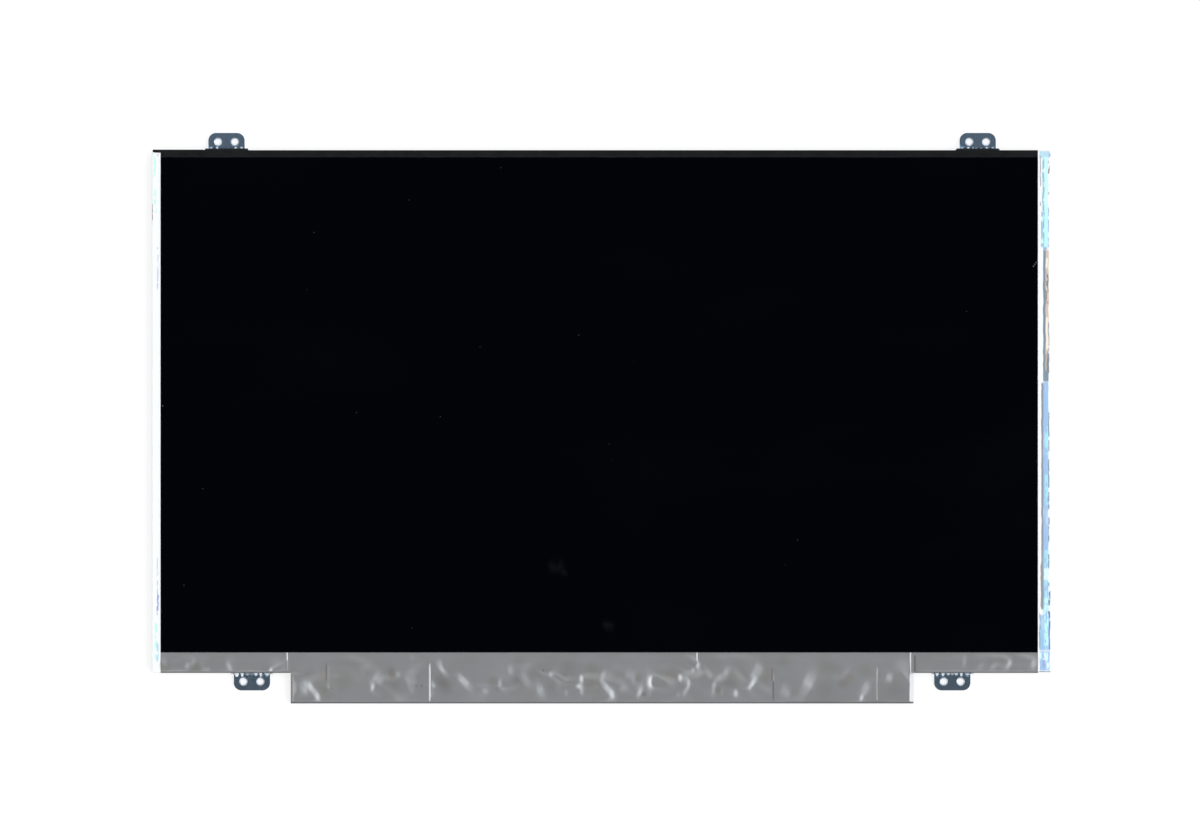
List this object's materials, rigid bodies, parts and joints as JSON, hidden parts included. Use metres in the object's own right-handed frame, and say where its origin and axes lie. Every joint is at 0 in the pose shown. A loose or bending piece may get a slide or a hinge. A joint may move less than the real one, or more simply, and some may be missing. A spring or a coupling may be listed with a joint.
{
  "type": "laptop screen panel",
  "caption": "Slim flat-screen module for a laptop lid: black glass face, taped edges, wrapped board along the lower edge and bent steel ears with screw holes.",
  "frame": {"origin": "under the middle of the whole outline, on the plane of the back plate's rear face", "axes": "+X to the right as the screen is viewed, +Y towards the upper ears, +Z out of the screen"},
  "size_m": [0.3204, 0.203, 0.0035],
  "materials": {
    "polariser": "black film with an anti-glare surface",
    "cell_glass": "thin clear glass with ground edges",
    "frame_plastic": "white moulding, fine satin texture",
    "plate_metal": "rolled sheet, fine grain",
    "ear_steel": "plated steel, scuffed",
    "black_tape": "matt black tape",
    "clear_tape": "clear glossy tape with a cool tint",
    "cover_film": "grey film, satin, wrinkled",
    "reflector_white": "white reflecting film",
    "guide_acrylic": "clear acrylic plate",
    "optical_film": "milky clear film",
    "flex_strip": "white coated flexible circuit",
    "led_package": "pale package with a yellow window",
    "driver_film": "amber flexible circuit",
    "chip_silicon": "bare dark die",
    "circuit_board": "green solder mask",
    "chip_black": "black moulded package",
    "inductor_core": "dark grey pressed core",
    "capacitor_ceramic": "tan block with tinned ends",
    "socket_plastic": "black moulding",
    "socket_steel": "folded plated shell",
    "contact_metal": "gold flash"
  },
  "bodies": {
    "root": {"array_glass": "cell_glass", "back_plate": "plate_metal", "backlight_chip": "chip_black", "board_capacitors": "capacitor_ceramic", "board_cover_film": "cover_film", "board_inductors": "inductor_core", "board_resistors": "chip_black", "control_board": "circuit_board", "driver_chip_left": "chip_silicon", "driver_chip_middle": "chip_silicon", "driver_chip_right": "chip_silicon", "driver_film_left": "driver_film", "driver_film_middle": "driver_film", "driver_film_right": "driver_film", "ear_bottom_left": "ear_steel", "ear_bottom_right": "ear_steel", "ear_top_left": "ear_steel", "ear_top_right": "ear_steel", "filter_glass": "cell_glass", "front_polariser": "polariser", "led_row": "led_package", "led_strip": "flex_strip", "left_edge_tape": "clear_tape", "light_guide": "guide_acrylic", "lower_diffuser": "optical_film", "lower_prism_film": "optical_film", "memory_chip": "chip_black", "mould_frame": "frame_plastic", "power_chip": "chip_black", "rear_polariser": "polariser", "reflector_sheet": "reflector_white", "right_edge_tape": "clear_tape", "rim_tape": "black_tape", "signal_socket_body": "socket_plastic", "signal_socket_contacts": "contact_metal", "signal_socket_shell": "socket_steel", "timing_chip": "chip_black", "top_edge_tape": "black_tape", "upper_diffuser": "optical_film", "upper_prism_film": "optical_film"}
  },
  "joints": []
}
